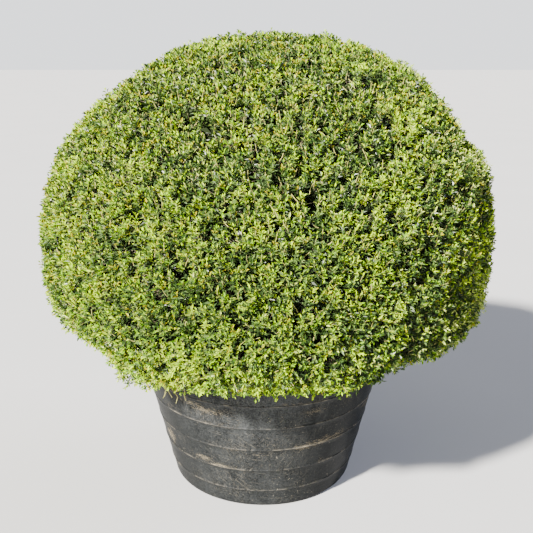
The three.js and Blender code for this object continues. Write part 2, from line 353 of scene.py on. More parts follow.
def makeSprayTree():
    inputs = {"Sprays": "Collection", "Size": "Float", "Size Spread": "Float", "Kinds": "Int", "Seed": "Int"}
    kit, start, closeWith = newGrower("sprayGrower", inputs)

    def random(sort, low, high, values):
        values = {low: values[0], high: values[1], "Seed": start["Seed"]}
        return kit.add("FunctionNodeRandomValue", values, data_type=sort).outputs

    sprays = kit.add(
        "GeometryNodeCollectionInfo",
        {"Collection": start["Sprays"], "Separate Children": True, "Reset Children": True},
    )
    grow = kit.add("GeometryNodeInputNamedAttribute", {"Name": "grow"}, data_type="FLOAT_VECTOR")
    aim = kit.add("FunctionNodeAlignRotationToVector", {"Vector": grow.outputs["Attribute"]}, axis="Z")
    spin = random("FLOAT", 2, 3, (0, 2 * math.pi))[1]
    turn = kit.add("ShaderNodeCombineXYZ", {"Z": spin})
    asTurn = kit.add("FunctionNodeEulerToRotation", {0: turn.outputs[0]})
    both = kit.add(
        "FunctionNodeRotateRotation",
        {"Rotation": aim.outputs[0], "Rotate By": asTurn.outputs[0]},
        rotation_space="LOCAL",
    )
    size = [kit.sums(way, start["Size"], start["Size Spread"]) for way in ("SUBTRACT", "ADD")]
    kinds = (0, kit.less(start["Kinds"], 1))
    placed = {
        "Points": start["Geometry"],
        "Instance": sprays.outputs[0],
        "Pick Instance": True,
        "Instance Index": random("INT", 4, 5, kinds)[2],
        "Rotation": both.outputs[0],
        "Scale": random("FLOAT", 2, 3, size)[1],
    }
    return closeWith(kit.add("GeometryNodeInstanceOnPoints", placed).outputs[0])


def makeTwigTree():
    kit, start, closeWith = newGrower("twigRounder", {"Sides": "Int", "Girth": "Float"})
    curve = kit.add("GeometryNodeMeshToCurve", {"Mesh": start["Geometry"]})
    thick = kit.add("GeometryNodeInputNamedAttribute", {"Name": "thick"}, data_type="FLOAT")
    ring = kit.add("GeometryNodeCurvePrimitiveCircle", {"Radius": 1, "Resolution": start["Sides"]})
    rounded = {
        "Curve": curve.outputs["Curve"],
        "Profile Curve": ring.outputs["Curve"],
        "Scale": kit.times(thick.outputs["Attribute"], start["Girth"]),
        "Fill Caps": True,
    }
    tube = kit.add("GeometryNodeCurveToMesh", rounded).outputs["Mesh"]
    # closes a pointed end to one point
    welded = kit.add("GeometryNodeMergeByDistance", {"Geometry": tube, "Distance": 1e-6})
    return closeWith(welded.outputs[0])


sprayTree = makeSprayTree()
twigTree = makeTwigTree()


def settle(obj, mod):
    # puts what the modifier makes in place of the piece's own mesh
    obj.update_tag()
    graph = bpy.context.evaluated_depsgraph_get()
    mesh = bpy.data.meshes.new_from_object(obj.evaluated_get(graph), depsgraph=graph)
    obj.modifiers.remove(mod)
    old, obj.data = obj.data, mesh
    bpy.data.meshes.remove(old)
    mesh.name = obj.name
    return mesh


def grown(obj, tree, values):
    mod = obj.modifiers.new("grow", "NODES")
    mod.node_group = tree
    inputs = {item.name: item.identifier for item in tree.interface.items_tree if item.in_out == "INPUT"}
    for label, value in values.items():
        mod[inputs[label]] = value
    mesh = settle(obj, mod)
    for name in ("grow", "thick"):
        if name in mesh.attributes:
            mesh.attributes.remove(mesh.attributes[name])
    return obj


def newPiece(name, mesh):
    obj = bpy.data.objects.new(name, mesh)
    scene.collection.objects.link(obj)
    return obj


def report(obj):
    tris = sum(len(p.vertices) - 2 for p in obj.data.polygons)
    print(f"  {obj.name}: {tris} triangles")


def shadeSmooth(mesh):
    mesh.polygons.foreach_set("use_smooth", [True] * len(mesh.polygons))
    return mesh


def meshOf(name, verts, faces=(), edges=()):
    # the points come in millimetres
    mesh = bpy.data.meshes.new(name)
    mesh.from_pydata([[float(v) / 1000 for v in p] for p in verts], edges, faces)
    return mesh


def meshFrom(name, bm):
    mesh = bpy.data.meshes.new(name)
    bm.to_mesh(mesh)
    bm.free()
    return mesh


def ringFaces(first, rings, sides):
    # quads between rings of points that follow one another
    faces = []
    for a in range(first, first + (rings - 1) * sides, sides):
        for i in range(sides):
            j = (i + 1) % sides
            faces.append((a + i, a + j, a + sides + j, a + sides + i))
    return faces


def roundBody(name, low, rings, high):
    # a closed body: rings of points between two end points
    sides = len(rings[0])
    last = 1 + (len(rings) - 1) * sides
    around = [(i, (i + 1) % sides) for i in range(sides)]
    faces = [(0, 1 + j, 1 + i) for i, j in around]
    faces += ringFaces(1, len(rings), sides)
    faces += [(last + i, last + j, last + sides) for i, j in around]
    return meshOf(name, [low, *sum(rings, []), high], faces)


# finishes
class Finish(Nodes):
    def __init__(self, name, isPlain=False):
        self.mat = bpy.data.materials.new(name)
        self.mat.use_nodes = True
        super().__init__(self.mat.node_tree)
        if not isPlain:
            self.where = self.add("ShaderNodeTexCoord").outputs["Object"]

    def done(self, values):
        self.fill(self.tree.nodes["Principled BSDF"].inputs, values)
        return self.mat


def plainFinish(name, colour, rough, level=0.5):
    look = {"Base Color": (*colour, 1), "Roughness": rough, "Specular IOR Level": level}
    return Finish(name, True).done(look)


def makeGrainGroup():
    kit, start, end = newTree(
        "surfaceGrain",
        "ShaderNodeTree",
        {"Where": "Vector", "Scale": "Float", "Smoothest": "Float", "Roughest": "Float"},
        {"Roughness": "Float", "Height": "Float", "Specks": "Float"},
    )
    fine = kit.noise(start["Scale"], 3, 0.6, 0.0, start["Where"])
    roughness = kit.span(fine, 0.3, 0.7, start["Smoothest"], start["Roughest"])
    kit.fill(end, {"Roughness": roughness, "Height": fine, "Specks": kit.span(fine, 0.64, 0.71)})
    return kit.tree


surfaceGrain = makeGrainGroup()


barkLook = {
    "ridge": (0.31, 0.25, 0.165),
    "groove": (0.085, 0.062, 0.04),
    "lichen": (0.30, 0.31, 0.22),
    "scale": 60.0,
    "depth": 0.0016,
}


def makeBark():
    kit = Finish("boxBark")
    ridges = kit.streaks((1, 1, 0.3), barkLook["scale"], 5, 0.6, 0.6)
    fine = kit.grain(barkLook["scale"] * 5, 0.75, 0.95)
    colour = kit.mix(kit.span(ridges, 0.36, 0.62), barkLook["groove"], barkLook["ridge"])
    moss = kit.span(kit.noise(14, 4, 0.6), 0.55, 0.7, 0, 0.6)
    height = kit.timesPlus(fine["Height"], 0.25, ridges)
    return kit.done(
        {
            "Base Color": kit.mix(moss, colour, barkLook["lichen"]),
            "Roughness": fine["Roughness"],
            "Normal": kit.bump(height, barkLook["depth"]),
        }
    )


barkFinish = makeBark()

# the pot
pot = {
    "baseRadius": 240,
    "flare": 0.236,
    "height": 396,
    "wall": 4.2,
    "floor": 6,
    "corner": 13,
    "sides": 192,
    "warp": 0.5,
    "rings": (53, 118, 182, 247, 312),
    "ringRise": 1.3,
    "ringHalf": 2.6,
    "lipDepth": 24,
    "lipReach": 10,
    "drainHoles": 8,
    "drainCircle": 178,
    "drainRadius": 10,
}


def potRadiusAt(z):
    return pot["baseRadius"] + pot["flare"] * z


def potProfile():
    rows = [(0, 0), (60, 0), (120, 0), (180, 0), (215, 0)]
    corner = pot["corner"]
    for k in range(7):
        a = (k / 6) * math.pi * 0.43
        r = potRadiusAt(corner) - corner + corner * math.sin(a)
        rows.append((r, corner - corner * math.cos(a)))
    lipFoot = pot["height"] - pot["lipDepth"]
    stops = [corner + 4]

    def climb(end, steps):
        first = stops[-1]
        stops.extend(first + (end - first) * (k + 1) / steps for k in range(steps))

    for ring in pot["rings"]:
        low = ring - pot["ringHalf"]
        climb(low, max(1, round((low - stops[-1]) / 11)))
        climb(ring + pot["ringHalf"], 8)
    climb(lipFoot - 1, 5)
    for z in stops:
        rise = 0
        for ring in pot["rings"]:
            off = (z - ring) / pot["ringHalf"]
            if abs(off) < 1:
                rise = pot["ringRise"] * math.cos(off * math.pi / 2) ** 0.8
        rows.append((potRadiusAt(z) + rise, z))
    outer = potRadiusAt(pot["height"]) + pot["lipReach"]
    top = pot["height"]
    rows += [(potRadiusAt(lipFoot), lipFoot), (outer - 4, lipFoot)]
    rows += [(outer - 1.2, lipFoot + 0.8), (outer, lipFoot + 3), (outer, lipFoot + 9)]
    rows += [(outer, top - 10), (outer - 0.5, top - 5), (outer - 2, top - 1.6)]
    rows += [(outer - 5, top - 0.2), (outer - 7, top)]
    inner = potRadiusAt(top) - pot["wall"]
    rows += [(inner + 3, top), (inner + 1, top - 1), (inner - 0.3, top - 4)]
    for z in (380, 365, 352, 340, 300, 200, 100, pot["floor"]):
        rows.append((potRadiusAt(z) - pot["wall"], z))
    rows.append((0, pot["floor"]))
    return rows


# Dust on the wall, with painted light: thickest on the side towards the sun, which paints that side lighter
# and the far side darker, and thicker high up, which paints light into the crown's shadow. The side it lies
# on, how narrow that side is, its share elsewhere and there, then its share low on the pot, how much more
# there is high up, and between which heights it grows.
potDustAndLight = {
    "turn": 1.74,
    "narrow": 9,
    "least": 0.10,
    "most": 0.90,
    "low": 0.84,
    "more": 0.56,
    "between": (170, 300),
}
# Scuffed patches: turn in degrees from the front, height, half width, half height, strength.
scuffs = [
    (-34, 295, 7, 7, 0.9),
    (-24, 286, 9, 10, 1.0),
    (-14, 268, 6, 6, 0.7),
    (-20, 252, 10, 5, 0.5),
    (-60, 150, 5, 22, 0.9),
    (21, 183, 6, 6, 1.0),
    (31, 188, 8, 9, 1.0),
    (41, 190, 5, 14, 0.7),
    (-15, 178, 5, 4, 0.8),
    (-2, 170, 7, 4, 0.8),
    (8, 164, 6, 3, 0.6),
    (32, 126, 2.4, 6, 1.0),
    (12, 318, 7, 5, 0.7),
    (24, 286, 6, 9, 0.8),
    (-33, 132, 5, 3, 1.0),
    (-22, 120, 8, 3, 1.0),
    (-50, 258, 8, 6, 0.5),
    (44, 282, 8, 5, 0.5),
    (66, 236, 9, 14, 0.6),
    (84, 132, 12, 7, 0.7),
    (112, 282, 10, 8, 0.6),
    (131, 176, 7, 16, 0.7),
    (158, 118, 12, 5, 0.8),
    (176, 300, 8, 10, 0.6),
    (196, 214, 11, 9, 0.7),
    (221, 142, 6, 13, 0.6),
    (243, 270, 12, 6, 0.7),
    (268, 190, 8, 12, 0.6),
]


def potRing(r, z):
    # nearly round: the wall is pressed a little out of shape, more towards the rim
    ring = []
    for i in range(pot["sides"]):
        a = i / pot["sides"] * 2 * math.pi
        warp = pot["warp"] * math.sin(2 * a + 0.7) * z / 400 + pot["warp"] * 0.4 * math.sin(5 * a)
        ring.append(((r + warp) * math.cos(a), (r + warp) * math.sin(a), z))
    return ring


def drainCutter():
    bm = bmesh.new()
    for k in range(pot["drainHoles"]):
        a = (k + 0.5) / pot["drainHoles"] * 2 * math.pi
        at = Vector((math.cos(a), math.sin(a), 0)) * pot["drainCircle"] / 1000
        place = Matrix.Translation(at + Vector((0, 0, pot["floor"] / 2000)))
        bmesh.ops.create_cone(
            bm,
            cap_ends=True,
            segments=24,
            radius1=pot["drainRadius"] / 1000,
            radius2=pot["drainRadius"] / 1000,
            depth=0.02,
            matrix=place,
        )
    return newPiece("drainCutter", meshFrom("drainCutter", bm))


def markPotWearAndLight(mesh):
    # how scuffed each point is, how much dust it has with painted light in it, and whether it lies outside
    marks = {"scuffed": [], "outside": [], "weather": []}
    for v in mesh.vertices:
        x, y, z = v.co * 1000
        isOut = float(math.hypot(x, y) > potRadiusAt(z) - 2)
        # the dust share is partly painted light: lighter towards the sun, darker away from it, lighter high
        # up in the crown's shadow
        sunlitSide = 0.5 + 0.5 * math.cos(math.atan2(y, x) + potDustAndLight["turn"])
        dustHighAndLit = potDustAndLight["low"] + potDustAndLight["more"] * smooth(*potDustAndLight["between"], z)
        marks["weather"].append((potDustAndLight["least"] + potDustAndLight["most"] * sunlitSide ** potDustAndLight["narrow"]) * dustHighAndLit)
        turn = math.degrees(math.atan2(x, -y))
        wear = 0.0
        for at, high, wide, tall, amount in scuffs:
            off = (turn - at + 180) % 360 - 180
            q = (off / wide) ** 2 + ((z - high) / tall) ** 2
            wear = max(wear, amount * math.exp(-q * 0.9))
        marks["scuffed"].append(wear * isOut)
        marks["outside"].append(isOut)
    for name, values in marks.items():
        mesh.attributes.new(name, "FLOAT", "POINT").data.foreach_set("value", values)


def makePot():
    (_, low), *rows, (_, high) = potProfile()
    rings = [potRing(r, z) for r, z in rows]
    obj = newPiece("nurseryPot", roundBody("nurseryPot", (0, 0, low), rings, (0, 0, high)))
    cutter = drainCutter()
    cut = obj.modifiers.new("drains", "BOOLEAN")
    cut.operation = "DIFFERENCE"
    cut.object = cutter
    cut.solver = "EXACT"
    mesh = settle(obj, cut)
    bpy.data.objects.remove(cutter)
    markPotWearAndLight(mesh)
    shadeSmooth(mesh).set_sharp_from_angle(angle=math.radians(40))
    return obj


potLook = {
    "clean": (0.0054, 0.0063, 0.0068),
    "dustAndSheen": (0.067, 0.071, 0.071),
    "dirtAndCrestHighlight": (0.20, 0.18, 0.140),
    "scuff": (0.30, 0.25, 0.165),
    "rough": 0.40,
    "level": 0.03,
    "relief": 0.0006,
    "filmFrom": 0.24,  # where the film of dust starts, and where it is full
    "filmTo": 1.22,
    "scratches": 0.36,
    "scuffs": 0.8,
}


def dustAndSheenFilm(kit, cloud, weather):
    # a thin film of dust, thicker in soft vertical runs; its share follows the dust attribute, so its pale
    # colour also paints the sun's sheen on the lit side and light into the crown's shadow
    runs = kit.streaks((1, 1, 0.16), 30.0, 4, 0.6, 0.3)
    smear = kit.streaks((1, 1, 1.5), 17.0, 4, 0.62, 0.8)
    mottle = kit.noise(190.0, 4, 0.9, 0.5)
    dustSheenFilm = kit.timesPlus(smear, 0.4, kit.times(cloud, 0.4))
    dustSheenFilm = kit.timesPlus(runs, 0.5, dustSheenFilm)
    dustSheenFilm = kit.timesPlus(kit.less(mottle, 0.5), 1.7, dustSheenFilm)
    return kit.times(kit.span(dustSheenFilm, potLook["filmFrom"], potLook["filmTo"]), weather)


def splashes(kit):
    often = kit.noise(11.0, 3, 0.6)
    drops = kit.noise(130.0, 2, 0.5)
    specks = kit.most(kit.grain(300.0)["Specks"], kit.span(drops, 0.70, 0.74))
    return kit.times(specks, kit.span(often, 0.4, 0.7, 0.15, 0.9))


def scratches(kit, cloud, weather):
    # long ones round the pot, short ones up it, and scribbles, fewer where the dust's painted light is dark
    lines = kit.streaks((6, 6, 230), 2.4, 2, 0.5, 0.2, (0.10, 0.08, 0))
    steep = kit.streaks((240, 240, 12), 1.6, 2, 0.5, 0.2, (0.05, -0.06, 0))
    slant = kit.streaks((230, 230, 14), 1.5, 2, 0.5, 0.3, (0, 0.62, 0))
    cross = kit.streaks((230, 230, 18), 1.5, 2, 0.5, 0.3, (0, -0.95, 0))
    rubbed = kit.noise(14.0, 3, 0.6)
    lines = kit.times(kit.span(lines, 0.66, 0.70), kit.span(rubbed, 0.45, 0.6))
    short = kit.most(steep, kit.most(slant, cross))
    nicks = kit.times(kit.span(short, 0.59, 0.71, 0, 0.7), kit.span(rubbed, 0.56, 0.42))
    loops = kit.streaks((1, 1, 1.6), 26.0, 3, 0.55, 1.6)
    loops = kit.span(kit.sums("ABSOLUTE", kit.less(loops, 0.5)), 0.010, 0.002)
    loops = kit.times(loops, kit.span(cloud, 0.5, 0.6, 0.0, 0.35))
    marks = kit.most(lines, kit.most(nicks, loops))
    return kit.times(marks, kit.span(weather, 0.2, 0.9, 0.25, 1.0))


def tornPatches(kit, wornAt):
    torn = kit.streaks((9, 9, 50), 8.0, 6, 0.9, 0.6, (0.15, 0.2, 0))
    patch = kit.span(kit.timesPlus(wornAt, 0.15, torn), 0.61, 0.655)
    return kit.times(patch, kit.span(wornAt, 0.04, 0.3))


def ringDirtAndCrestHighlights(kit, wornAt):
    # pale crests, partly bare wear and partly a painted highlight, and dirt above them, from the millimetres
    # up or down to the nearest ring
    first, last = pot["rings"][0], pot["rings"][-1]
    pitch = (last - first) / (len(pot["rings"]) - 1)
    waver = kit.timesPlus(kit.noise(5.0, 2, 0.5), 1.2, -0.6 - first)
    metres = kit.add("ShaderNodeSeparateXYZ", {0: kit.where}).outputs["Z"]
    turns = kit.sums("DIVIDE", kit.timesPlus(metres, 1000.0, waver), pitch)
    off = kit.times(kit.less(turns, kit.sums("ROUND", turns)), pitch)
    broken = kit.streaks((1, 1, 0.5), 19.0, 5, 0.75)
    bare = kit.most(kit.span(broken, 0.46, 0.66, 0.03, 0.85), wornAt)
    crestWearAndHighlight = kit.times(kit.span(kit.sums("ABSOLUTE", off), 1.3, 0.4), bare)
    ledge = kit.times(kit.span(off, 6.0, 1.0), kit.span(off, -1.0, 1.0))
    ledge = kit.times(ledge, kit.span(broken, 0.45, 0.8, 0.0, 0.5))
    return kit.times(kit.most(crestWearAndHighlight, ledge), kit.attribute("outside"))


def makePotFinish():
    kit = Finish("weatheredPlastic")
    cloud = kit.noise(5.0, 5, 0.6, 0.4)
    weather = kit.attribute("weather")
    wornAt = kit.attribute("scuffed")
    dustSheenFilm = dustAndSheenFilm(kit, cloud, weather)
    scratch = scratches(kit, cloud, weather)
    patch = tornPatches(kit, wornAt)
    # pale ring crests are part wear and part painted highlight; the ledges above them hold dirt
    dirtAndCrestHighlight = ringDirtAndCrestHighlights(kit, wornAt)
    # the pale dust colour is also a painted sheen on the sunlit side and painted light in the crown's shadow
    colour = kit.mix(dustSheenFilm, potLook["clean"], potLook["dustAndSheen"])
    colour = kit.mix(splashes(kit), colour, potLook["dirtAndCrestHighlight"])
    colour = kit.mix(kit.times(scratch, potLook["scratches"]), colour, potLook["dirtAndCrestHighlight"])
    colour = kit.mix(kit.times(patch, potLook["scuffs"]), colour, potLook["scuff"])
    dull = kit.most(dustSheenFilm, kit.most(patch, dirtAndCrestHighlight))
    fine = kit.grain(420.0)["Height"]
    height = kit.timesPlus(scratch, -0.6, kit.times(fine, 0.5))
    height = kit.timesPlus(patch, 0.5, height)
    return kit.done(
        {
            "Base Color": kit.mix(dirtAndCrestHighlight, colour, potLook["dirtAndCrestHighlight"]),
            "Specular IOR Level": potLook["level"],
            "Roughness": kit.span(dull, 0.0, 1.0, potLook["rough"], 0.8),
            "Normal": kit.bump(height, potLook["relief"]),
        }
    )


print("making the pot")
potPiece = makePot()
potPiece.data.materials.clear()
potPiece.data.materials.append(makePotFinish())
report(potPiece)

# potting soil
soil = {
    "sides": 120,
    "rows": 34,
    "chips": 700,
    "chipKinds": 5,
    "chipSize": (15, 9, 4),
    "chipSpread": 0.35,
    "seed": 512,
}
# The colours of the mix and of the older chips on it: dark, pale, specks.
soilColours = {
    "pottingMix": ((0.022, 0.014, 0.009), (0.085, 0.055, 0.034), (0.16, 0.13, 0.1)),
    "agedChips": ((0.050, 0.034, 0.022), (0.150, 0.108, 0.070), (0.24, 0.20, 0.15)),
}


def soilEdge(z, gap=1):
    return potRadiusAt(z) - pot["wall"] - gap


def soilHeight(x, y):
    part = math.hypot(x, y) / soilEdge(stem["soilTop"])
    rise = stem["soilDome"] * (1 - part) * 0.6
    lumps = 3.2 * noise.noise(Vector((x / 26, y / 26, 0.3)))
    lumps += 1.6 * noise.noise(Vector((x / 9, y / 9, 4.3)))
    flat = float(smooth(0.16, 0.26, np.float64(part)))
    return stem["soilTop"] - 2 + rise + lumps * flat + (1 - flat) * 4


def makeSoil():
    sides, rows = soil["sides"], soil["rows"]
    turns = [(i + 0.5) / sides * 2 * math.pi for i in range(sides)]

    def ring(r, z=None):
        spots = [(r * math.cos(a), r * math.sin(a)) for a in turns]
        return [(x, y, soilHeight(x, y) if z is None else z) for x, y in spots]

    foot = pot["floor"] + 1
    outer = soilEdge(stem["soilTop"])
    rings = [ring(soilEdge(8), foot), ring(soilEdge(330), 330)]
    rings += [ring(outer * (1 - k / rows) + 0.01) for k in range(rows)]
    mesh = roundBody("pottingMix", (0, 0, foot), rings, (0, 0, soilHeight(0, 0)))
    return newPiece("pottingMix", shadeSmooth(mesh))


def makeSoilFinish(name):
    kit = Finish(name)
    dark, pale, specks = soilColours[name]
    coarse = kit.noise(70, 5, 0.65, 0.5)
    fine = kit.grain(320, 0.8, 1.0)
    colour = kit.mix(kit.span(coarse, 0.35, 0.68), dark, pale)
    height = kit.timesPlus(fine["Height"], 0.4, coarse)
    return kit.done(
        {
            "Base Color": kit.mix(kit.times(fine["Specks"], 0.5), colour, specks),
            "Roughness": fine["Roughness"],
            "Normal": kit.bump(height, 0.004),
        }
    )


def makeKinds(name, count, makeMesh):
    # some of a kind, to be dealt out over the points of a piece
    made = bpy.data.collections.new(name)
    for kind in range(count):
        label = f"{name}{kind}"
        made.objects.link(bpy.data.objects.new(label, makeMesh(label, kind)))
    return made


def clearAway(collection):
    for obj in list(collection.objects):
        bpy.data.objects.remove(obj)
    bpy.data.collections.remove(collection)


def makeChip(name, kind):
    draw = seeded(soil["seed"] + kind)
    bm = bmesh.new()
    bmesh.ops.create_cube(bm, size=0.001)
    bmesh.ops.bevel(bm, geom=bm.edges[:], offset=0.00018, segments=1, affect="EDGES")
    for v in bm.verts:
        for axis in range(3):
            v.co[axis] *= soil["chipSize"][axis] * (0.75 + 0.5 * draw())
    return meshFrom(name, bm)


def growOn(name, where, grow, kinds, count, seed, finish, spread=0.16):
    # one spray, leaf pair or chip on each point, turned to the way it grows
    mesh = meshOf(name, where)
    attribute = mesh.attributes.new("grow", "FLOAT_VECTOR", "POINT")
    attribute.data.foreach_set("vector", np.asarray(grow, np.float32).ravel())
    values = {
        "Sprays": kinds,
        "Size": 1.0,
        "Size Spread": spread,
        "Kinds": count,
        "Seed": seed,
        "Finish": finish,
    }
    return grown(newPiece(name, mesh), sprayTree, values)


def makeChips(finish):
    draw = seeded(soil["seed"] + 50)
    outer = soilEdge(stem["soilTop"], 16)
    inner = stem["radius"] + stem["flare"] + 12
    where, grow = [], []
    for k in range(soil["chips"]):
        r = inner + (outer - inner) * math.sqrt((k + 0.5) / soil["chips"])
        a = goldenTurn(k) + draw()
        x, y = r * math.cos(a), r * math.sin(a)
        where.append((x, y, soilHeight(x, y) + 1.5))
        grow.append((0.7 * draw() - 0.35, 0.7 * draw() - 0.35, 1.0))
    count, spread = soil["chipKinds"], soil["chipSpread"]
    kinds = makeKinds("barkChip", count, makeChip)
    made = growOn("barkChips", where, grow, kinds, count, soil["seed"], finish, spread)
    clearAway(kinds)
    return made


print("making the potting mix")
soilPiece = makeSoil()
soilPiece.data.materials.append(makeSoilFinish("pottingMix"))
chipPiece = makeChips(makeSoilFinish("agedChips"))
report(soilPiece)
report(chipPiece)


# stem and boughs, with the bark's own relief
bark = {
    "relief": 2.2,
    "boughRelief": 0.8,  # share of it on the boughs
    "stemSides": 56,
    "stemSteps": 44,
    "neckGirth": 25,
    "neckSides": 28,
    "neckSteps": 14,
    "boughGirth": 15,
    "boughTaper": 9,
    "boughSides": 14,
    "boughSteps": 22,
}


def barkLimb(verts, faces, centres, radii, sides, relief, flareAt=None):
    centres = np.array(centres, float)
    first = len(verts)
    side = np.array([1.0, 0.0, 0.0])
    count = len(centres)
    for k in range(count):
        along = centres[min(count - 1, k + 1)] - centres[max(0, k - 1)]
        along = along / np.linalg.norm(along)
        if abs(side @ along) > 0.9:
            side = np.array([0.0, 1.0, 0.0])
        side = side - along * (side @ along)
        side = side / np.linalg.norm(side)
        other = np.cross(along, side)
        for i in range(sides):
            a = i / sides * 2 * math.pi
            out = side * math.cos(a) + other * math.sin(a)
            r = radii[k] if flareAt is None else flareAt(k, a)
            p = centres[k] + out * r
            rough = noise.noise(Vector((p[0] / 14, p[1] / 14, p[2] / 46)))
            rough += 0.5 * noise.noise(Vector((p[0] / 5, p[1] / 5, p[2] / 17)))
            verts.append(tuple(p + out * (relief * (rough - 0.35) * min(1, r / 16))))
    faces += ringFaces(first, count, sides)
    faces.append(tuple(first + i for i in reversed(range(sides))))
    last = first + (count - 1) * sides
    faces.append(tuple(last + i for i in range(sides)))


def barkPiece(name, verts, faces):
    mesh = shadeSmooth(meshOf(name, verts, faces))
    mesh.materials.append(barkFinish)
    return newPiece(name, mesh)


def makeStem():
    foot = stem["soilTop"] + stem["soilDome"] + stem["gap"]
    parts = [k / bark["stemSteps"] for k in range(bark["stemSteps"] + 1)]
    centres = [stemCentre(foot + (stem["top"] - foot) * t) for t in parts]

    def reach(k, a):
        t = parts[k]
        spread = (1 - t) ** 3
        buttress = 0.55 + 0.45 * math.cos(5 * a + 0.6)
        ridge = 1 + 0.05 * math.cos(3 * a + 2.2 * t)
        r = (stem["radius"] + (stem["tipRadius"] - stem["radius"]) * t) * ridge
        return r + stem["flare"] * spread * buttress

    verts, faces = [], []
    barkLimb(verts, faces, centres, [0] * len(centres), bark["stemSides"], bark["relief"], reach)
    return barkPiece("barkedStem", verts, faces)


def makeBoughs(root, fork, boughs):
    verts, faces = [], []
    steps = bark["neckSteps"]
    neck = [root + (fork + [0, 0, 40] - root) * k / steps for k in range(steps + 1)]
    barkLimb(verts, faces, neck, [bark["neckGirth"]] * len(neck), bark["neckSides"], bark["relief"])
    steps = bark["boughSteps"]
    radii = [bark["boughGirth"] - bark["boughTaper"] * k / steps for k in range(steps + 1)]
    relief = bark["relief"] * bark["boughRelief"]
    for bough in boughs:
        path = bentPath(bough["fork"], bough["bend"], bough["tip"], steps)
        barkLimb(verts, faces, path, radii, bark["boughSides"], relief)
    return barkPiece("barkedBoughs", verts, faces)


print("growing the stem and boughs")
rootPoint, forkPoint, boughs = growBoughs()
limbs = growLimbs(boughs)
stemPiece = makeStem()
boughPiece = makeBoughs(rootPoint, forkPoint, boughs)
report(stemPiece)
report(boughPiece)

# limbs, twigs and shoots: the same rule carried on to finer wood
growth = {
    "twigs": 1250,
    "twigDepth": 74,
    "shoots": 51500,
    "leafy": 40,  # leafy length of a shoot
    "trim": 5,  # how far the sheared tips lie inside the crown's reach
    "roughness": 9,
    "clump": 5.5,
    "hang": 18,
    "cutUnder": 16,  # how far the shears lifted the underside, and how much more on one side
    "cutMore": 42,
    "hollow": 0.6,  # how far shoots thin out in the hollows
    "inner": 6000,
    "clipped": 0.24,
    "upright": 80,
    "bareTwigs": 1500,
    "girth": 1.0,  # thickens or thins all the fine wood
    "wander": 30,  # how far a shoot strays from its way
    "innerDepth": 50,  # where the leaves inside the crown start, and how far in they go on
    "innerSpread": 52,
    "potGap": 352,  # nothing grows nearer to the pot's middle under its rim
    "seed": 90210,
}
# Girth along each sort of fine wood, from its foot to its tip, before growth["girth"].
girths = {
    "limb": [6.5, 5.4, 4.4, 3.6, 2.8, 1.8],
    "twig": [2.2, 1.9, 1.6, 1.2],
    "shoot": [1.1, 0],
    "cutEnd": [0.85, 0.7],
    "dead": [1.5, 1.5, 1.4, 1.3, 1.2, 0.9],
}


class Skeleton:
    def __init__(self):
        self.points = []
        self.edges = []
        self.thick = []

    def add(self, path, thickness):
        first = len(self.points)
        for k, (p, t) in enumerate(zip(path, thickness)):
            self.points.append(p)
            self.thick.append(t / 1000)
            if k:
                self.edges.append((first + k - 1, first + k))

    def piece(self, name, sides, finish):
        mesh = meshOf(name, self.points, edges=self.edges)
        thick = mesh.attributes.new("thick", "FLOAT", "POINT")
        thick.data.foreach_set("value", self.thick)
        obj = newPiece(name, mesh)
        grown(obj, twigTree, {"Sides": sides, "Girth": growth["girth"], "Finish": finish})
        shadeSmooth(obj.data)
        return obj


def growTwigs(limbs):
    draw = seeded(growth["seed"])
    wood = Skeleton()
    for limb in limbs:
        path = limb["end"] - limb["foot"]
        sag = np.array([0, 0, -0.06 * np.linalg.norm(path)])
        middle = (limb["foot"] + limb["end"]) / 2 + sag
        limb["path"] = bentPath(limb["foot"], middle, limb["end"], 5)
        wood.add(limb["path"], girths["limb"])
    dirs = np.array([limb["d"] for limb in limbs])
    twigs = []
    for k in range(growth["twigs"]):
        d = spiralDirection(k, growth["twigs"], 1, -0.93, draw, 0.012, True)
        limb = limbs[int(np.argmax(dirs @ d))]
        away = 0.35 + 0.5 * draw()
        step = away * 5
        low = min(4, int(step))
        foot = limb["path"][low] + (limb["path"][low + 1] - limb["path"][low]) * (step - low)
        vigour = draw()
        end = crownPoint(d, growth["twigDepth"] - 14 * (vigour - 0.5))
        middle = (foot + end) / 2 + np.array([draw() - 0.5, draw() - 0.5, draw() - 0.7]) * 26
        twigs.append({"d": d, "end": end, "vigour": vigour})
        wood.add(bentPath(foot, middle, end, 3), girths["twig"])
    return twigs, wood


def clearOfPot(p):
    r = np.hypot(p[:, 0], p[:, 1])
    return (r > growth["potGap"]) | (p[:, 2] > pot["height"] + 5)


# Sprigs that hang below the rest: tip, the way each one grows, how many shoots, how far apart.
hangers = [
    ((292, -350, 416), (0.2, -0.6, -1.0), 2, 6),
    ((306, -342, 422), (0.9, -0.2, -0.7), 2, 6),
    ((108, -415, 398), (0.2, -0.6, -1.0), 3, 9),
    ((146, -405, 404), (-0.1, -0.5, -1.0), 2, 8),
    ((22, -428, 404), (0.1, -0.6, -1.0), 3, 9),
    ((-96, -422, 406), (-0.3, -0.5, -1.0), 3, 10),
    ((-330, -318, 434), (-0.5, -0.4, -0.7), 6, 14),
    ((-328, -320, 410), (-0.5, -0.3, -0.9), 10, 12),
    ((-319, -327, 395), (-0.3, -0.4, -1.0), 12, 12),
    ((-298, -335, 388), (-0.2, -0.4, -1.0), 10, 12),
    ((-274, -343, 387), (-0.2, -0.4, -1.0), 8, 12),
    ((-250, -354, 390), (-0.1, -0.4, -1.0), 6, 12),
]


# Widths of the swells and tufts in the foliage. They lie flatter than they are wide.
lumps = {"hollow": 27, "bulk": 62, "tuft": 20, "lean": 34, "hang": 32}
flatter = np.array([1, 1, 0.5])


